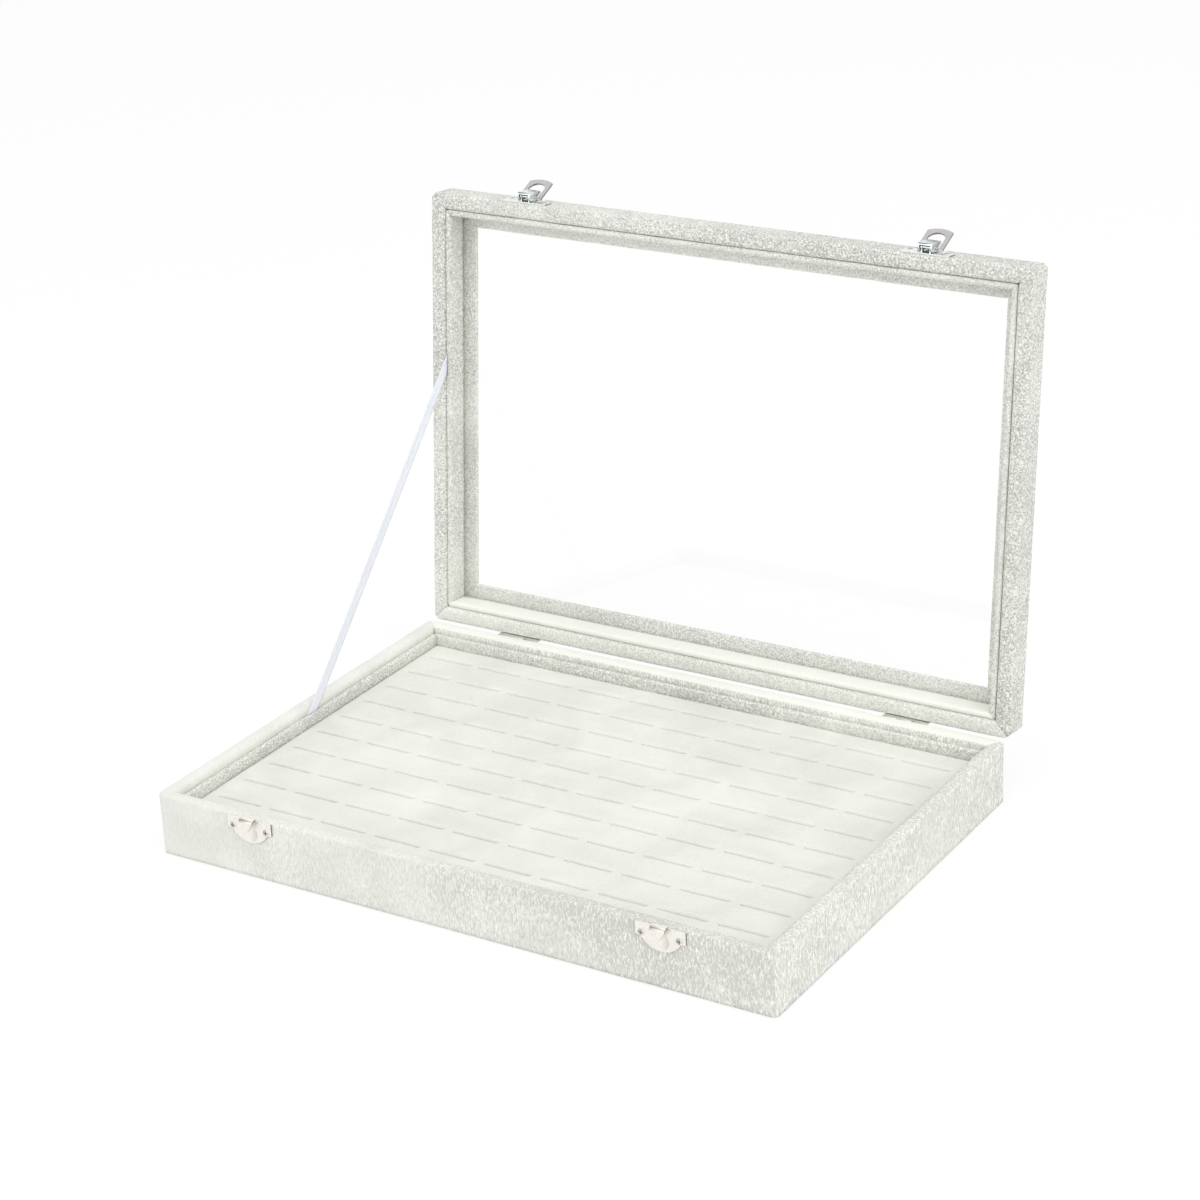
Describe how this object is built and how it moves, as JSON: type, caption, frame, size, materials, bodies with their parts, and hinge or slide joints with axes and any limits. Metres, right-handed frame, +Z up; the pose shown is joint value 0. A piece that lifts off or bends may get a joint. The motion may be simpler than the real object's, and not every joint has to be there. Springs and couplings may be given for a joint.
{
  "type": "velvet ring display case",
  "caption": "Flat velvet covered display case with a hinged glazed lid standing open, a slotted foam pad, toggle latches, butt hinges and a ribbon stay.",
  "frame": {"origin": "middle of the tray's underside, on the surface it stands on", "axes": "+X along the front from left to right, +Y from the front to the hinged back, +Z up"},
  "size_m": [0.35, 0.2933, 0.2783],
  "materials": {
    "velvet_outer": "off-white velvet",
    "velvet_lining": "off-white velvet",
    "board": "raw fibreboard",
    "foam": "soft foam",
    "underside": "thin backing cloth",
    "glass": "clear",
    "nickel": "polished nickel plate",
    "catch_nickel": "satin warm nickel plate",
    "screw": "nickel plate",
    "ribbon": "satin"
  },
  "bodies": {
    "tray": {"base_back_lining": "velvet_lining", "base_back_velvet": "velvet_outer", "base_back_wall": "board", "base_floor_board": "board", "base_front_lining": "velvet_lining", "base_front_velvet": "velvet_outer", "base_front_wall": "board", "base_hinge_screws": "screw", "base_left_lining": "velvet_lining", "base_left_velvet": "velvet_outer", "base_left_wall": "board", "base_right_lining": "velvet_lining", "base_right_velvet": "velvet_outer", "base_right_wall": "board", "base_underside_cover": "underside", "catch_screws": "screw", "left_catch_plate": "catch_nickel", "left_hinge_base_leaf": "nickel", "left_hinge_pin": "nickel", "pad_foam": "foam", "pad_velvet": "velvet_lining", "ribbon_stay": "ribbon", "right_catch_plate": "catch_nickel", "right_hinge_base_leaf": "nickel", "right_hinge_pin": "nickel"},
    "lid": {"glass_pane": "glass", "latch_screws": "screw", "left_hinge_lid_leaf": "nickel", "left_latch_pin": "nickel", "left_latch_plate": "nickel", "lid_back_lining": "velvet_lining", "lid_back_rail": "board", "lid_back_velvet": "velvet_outer", "lid_front_lining": "velvet_lining", "lid_front_rail": "board", "lid_front_velvet": "velvet_outer", "lid_hinge_screws": "screw", "lid_left_lining": "velvet_lining", "lid_left_rail": "board", "lid_left_velvet": "velvet_outer", "lid_lip_board": "board", "lid_right_lining": "velvet_lining", "lid_right_rail": "board", "lid_right_velvet": "velvet_outer", "right_hinge_lid_leaf": "nickel", "right_latch_pin": "nickel", "right_latch_plate": "nickel"},
    "left_lever": {"left_latch_lever": "nickel"},
    "left_loop": {"left_latch_loop": "nickel"},
    "right_lever": {"right_latch_lever": "nickel"},
    "right_loop": {"right_latch_loop": "nickel"}
  },
  "joints": [
    {"name": "lid_hinge", "type": "hinge", "parent": "tray", "child": "lid", "pos_m": [0, 0.1212, 0.031], "axis": [1, 0, 0], "range_deg": [0, 96], "deforming": ["ribbon_stay"]},
    {"name": "left_lever_hinge", "type": "hinge", "parent": "lid", "child": "left_lever", "pos_m": [-0.1165, 0.15164, 0.27375], "axis": [-1, 0, 0], "range_deg": [-100, 0]},
    {"name": "right_lever_hinge", "type": "hinge", "parent": "lid", "child": "right_lever", "pos_m": [0.1165, 0.15164, 0.27375], "axis": [-1, 0, 0], "range_deg": [-100, 0]},
    {"name": "left_loop_hinge", "type": "hinge", "parent": "left_lever", "child": "left_loop", "pos_m": [-0.1165, 0.1564, 0.27214], "axis": [1, 0, 0], "range_deg": [-28, 152]},
    {"name": "right_loop_hinge", "type": "hinge", "parent": "right_lever", "child": "right_loop", "pos_m": [0.1165, 0.1564, 0.27214], "axis": [1, 0, 0], "range_deg": [-28, 152]}
  ]
}
